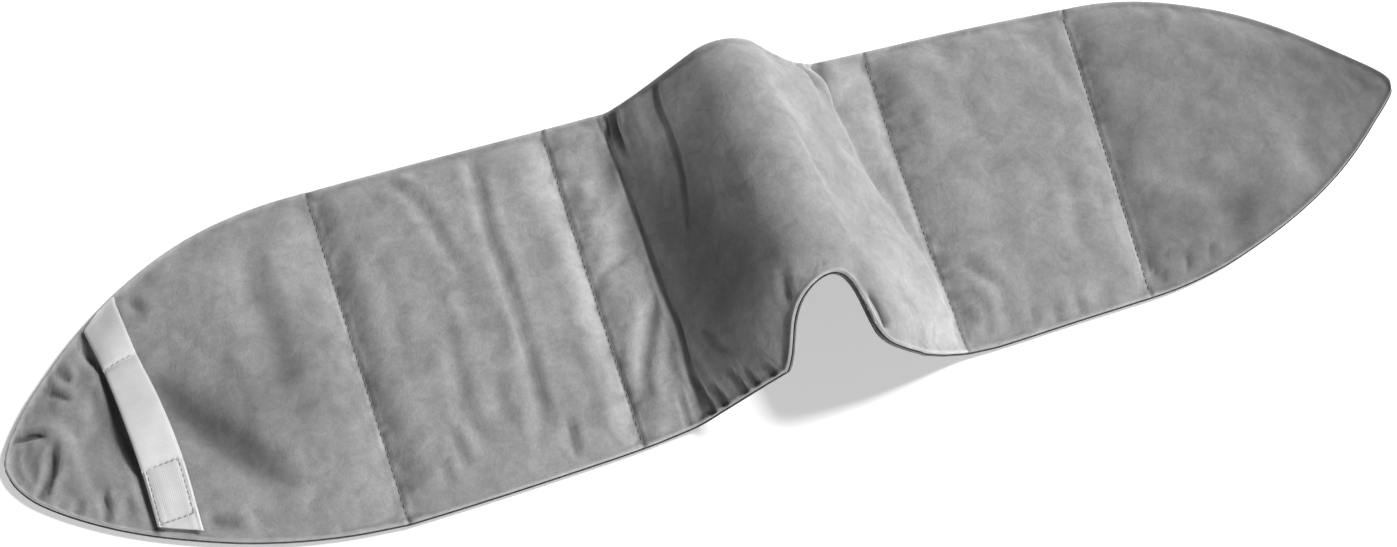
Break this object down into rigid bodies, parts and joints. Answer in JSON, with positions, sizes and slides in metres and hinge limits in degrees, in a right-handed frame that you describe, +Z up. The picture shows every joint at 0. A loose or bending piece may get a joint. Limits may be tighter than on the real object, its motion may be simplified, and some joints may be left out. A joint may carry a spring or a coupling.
{
  "type": "wrap-around sleep eye mask",
  "caption": "Padded wrap-around sleep mask: quilted cloth panels arched over the nose with a notch, tapered wings, and an elastic band on one wing that holds the tip of the other.",
  "frame": {"origin": "on the table plane, midway along the mask and between its two long edges", "axes": "+X along the mask from the wing with the band to the pointed wing, +Y from the cheek edge with the nose notch to the forehead edge, +Z up from the skin side to the outer face"},
  "size_m": [0.5626, 0.1414, 0.0487],
  "materials": {
    "face_cloth": "brushed grey velour, matt with a soft sheen",
    "skin_cloth": "smooth grey satin weave",
    "wadding": "lofty off-white polyester wadding",
    "thread": "matt polyester sewing thread",
    "elastic": "light grey ribbed woven elastic"
  },
  "bodies": {
    "left_gusset": {"face_cover_left_gusset": "face_cloth", "skin_cover_left_gusset": "skin_cloth", "wadding_left_gusset": "wadding", "seam_thread_left_inner": "thread"},
    "left_pod": {"face_cover_left_pod": "face_cloth", "skin_cover_left_pod": "skin_cloth", "wadding_left_pod": "wadding", "seam_thread_left_outer": "thread"},
    "left_wing": {"face_cover_left_wing": "face_cloth", "skin_cover_left_wing": "skin_cloth", "wadding_left_wing": "wadding", "band_end_upper": "elastic", "band_end_lower": "elastic", "band_line_stitch": "thread", "band_box_stitch": "thread"},
    "band_span": {"band_span": "elastic"},
    "left_flank": {"face_cover_left_flank": "face_cloth", "skin_cover_left_flank": "skin_cloth", "wadding_left_flank": "wadding"},
    "right_flank": {"face_cover_right_flank": "face_cloth", "skin_cover_right_flank": "skin_cloth", "wadding_right_flank": "wadding"},
    "right_gusset": {"face_cover_right_gusset": "face_cloth", "skin_cover_right_gusset": "skin_cloth", "wadding_right_gusset": "wadding", "seam_thread_right_inner": "thread"},
    "right_pod": {"face_cover_right_pod": "face_cloth", "skin_cover_right_pod": "skin_cloth", "wadding_right_pod": "wadding", "seam_thread_right_outer": "thread"},
    "right_wing": {"face_cover_right_wing": "face_cloth", "skin_cover_right_wing": "skin_cloth", "wadding_right_wing": "wadding"}
  },
  "joints": [
    {"name": "left_temple_fold", "type": "hinge", "parent": "left_gusset", "child": "left_pod", "pos_m": [-0.06459, 0.00139, 0.00105], "axis": [0.0139, 0.9999, 0], "range_deg": [-75, 90]},
    {"name": "left_wing_fold", "type": "hinge", "parent": "left_pod", "child": "left_wing", "pos_m": [-0.15561, 0.00139, 0.00105], "axis": [-0.0232, 0.9997, 0], "range_deg": [-75, 90]},
    {"name": "bridge_arch", "type": "hinge", "parent": "left_gusset", "child": "left_flank", "pos_m": [-0.03895, 0.00139, 0.0015], "axis": [0.0219, 0.9998, 0], "range_deg": [-12, 44]},
    {"name": "bridge_crest", "type": "hinge", "parent": "left_flank", "child": "right_flank", "pos_m": [0.00607, 0.00139, 0.04584], "axis": [-0.0073, 0.999, -0.0441], "range_deg": [-88, 24]},
    {"name": "bridge_right_foot", "type": "hinge", "parent": "right_flank", "child": "right_gusset", "pos_m": [0.0491, 0.00139, 0.0015], "axis": [-0.0512, 0.9987, 0], "range_deg": [-12, 44]},
    {"name": "right_temple_fold", "type": "hinge", "parent": "right_gusset", "child": "right_pod", "pos_m": [0.06691, 0.00139, 0.00105], "axis": [0.0706, 0.9975, 0], "range_deg": [-60, 75]},
    {"name": "right_wing_fold", "type": "hinge", "parent": "right_pod", "child": "right_wing", "pos_m": [0.15139, 0.00139, 0.00105], "axis": [0.131, 0.9914, 0], "range_deg": [-90, 75]},
    {"name": "band_stretch", "type": "slide", "parent": "left_wing", "child": "band_span", "axis": [0, 0, 1], "range_m": [0, 0.012]}
  ],
  "couplings": [
    {"joint": "bridge_crest", "follows": "bridge_arch", "ratio": -2},
    {"joint": "bridge_right_foot", "follows": "bridge_arch", "ratio": 1}
  ]
}
